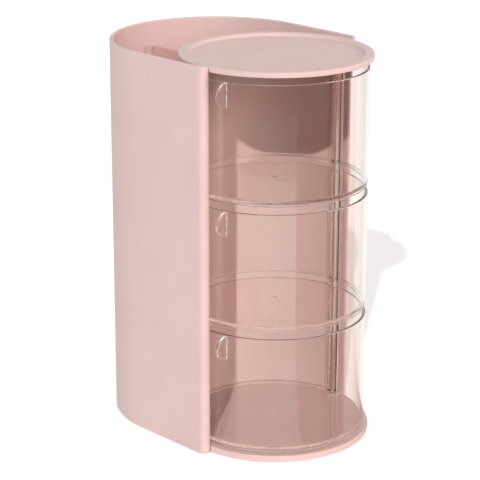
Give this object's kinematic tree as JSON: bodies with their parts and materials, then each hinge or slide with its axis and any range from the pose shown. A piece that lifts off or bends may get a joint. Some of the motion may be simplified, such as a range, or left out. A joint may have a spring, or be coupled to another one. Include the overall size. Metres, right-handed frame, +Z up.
{
  "type": "rotating makeup organizer drawers",
  "caption": "Tall capsule-shaped vanity organizer with clear round drawers that swing out sideways on an upright rod under a round lid, and an open divided brush well behind.",
  "frame": {"origin": "under the middle of the footprint, on the surface that the foot pads rest on", "axes": "+Z up, front with the drawers towards -Y, pivot rod at +X"},
  "size_m": [0.162, 0.2204, 0.3],
  "materials": {
    "housing": "satin pink",
    "back_panel": "satin pink",
    "base": "satin pink",
    "lid": "satin pink",
    "well_floor": "satin pink",
    "divider": "satin pink",
    "pivot_rod": "polished",
    "thrust_washer": "natural",
    "spacer_bottom": "polished",
    "spacer_middle": "polished",
    "spacer_top": "polished",
    "base_screw_1": "plain",
    "base_screw_2": "plain",
    "base_screw_3": "plain",
    "base_screw_4": "plain",
    "foot_pad_1": "matt",
    "foot_pad_2": "matt",
    "foot_pad_3": "matt",
    "foot_pad_4": "matt",
    "drawer_bottom": "clear, polished",
    "drawer_middle": "clear, polished",
    "drawer_top": "clear, polished",
    "pull_bottom": "clear, polished",
    "pull_middle": "clear, polished",
    "pull_top": "clear, polished"
  },
  "bodies": {
    "body": {"housing": "housing", "back_panel": "back_panel", "base": "base", "lid": "lid", "well_floor": "well_floor", "divider": "divider", "pivot_rod": "pivot_rod", "thrust_washer": "thrust_washer", "spacer_bottom": "spacer_bottom", "spacer_middle": "spacer_middle", "spacer_top": "spacer_top", "base_screw_1": "base_screw_1", "base_screw_2": "base_screw_2", "base_screw_3": "base_screw_3", "base_screw_4": "base_screw_4", "foot_pad_1": "foot_pad_1", "foot_pad_2": "foot_pad_2", "foot_pad_3": "foot_pad_3", "foot_pad_4": "foot_pad_4"},
    "bottom_drawer": {"drawer_bottom": "drawer_bottom", "pull_bottom": "pull_bottom"},
    "middle_drawer": {"drawer_middle": "drawer_middle", "pull_middle": "pull_middle"},
    "top_drawer": {"drawer_top": "drawer_top", "pull_top": "pull_top"}
  },
  "joints": [
    {"name": "bottom_drawer_swing", "type": "hinge", "parent": "body", "child": "bottom_drawer", "pos_m": [0.0685, -0.0368, 0.0068], "axis": [0, 0, 1], "range_deg": [0, 58]},
    {"name": "middle_drawer_swing", "type": "hinge", "parent": "body", "child": "middle_drawer", "pos_m": [0.0685, -0.0368, 0.1029], "axis": [0, 0, 1], "range_deg": [0, 58]},
    {"name": "top_drawer_swing", "type": "hinge", "parent": "body", "child": "top_drawer", "pos_m": [0.0685, -0.0368, 0.199], "axis": [0, 0, 1], "range_deg": [0, 58]}
  ]
}
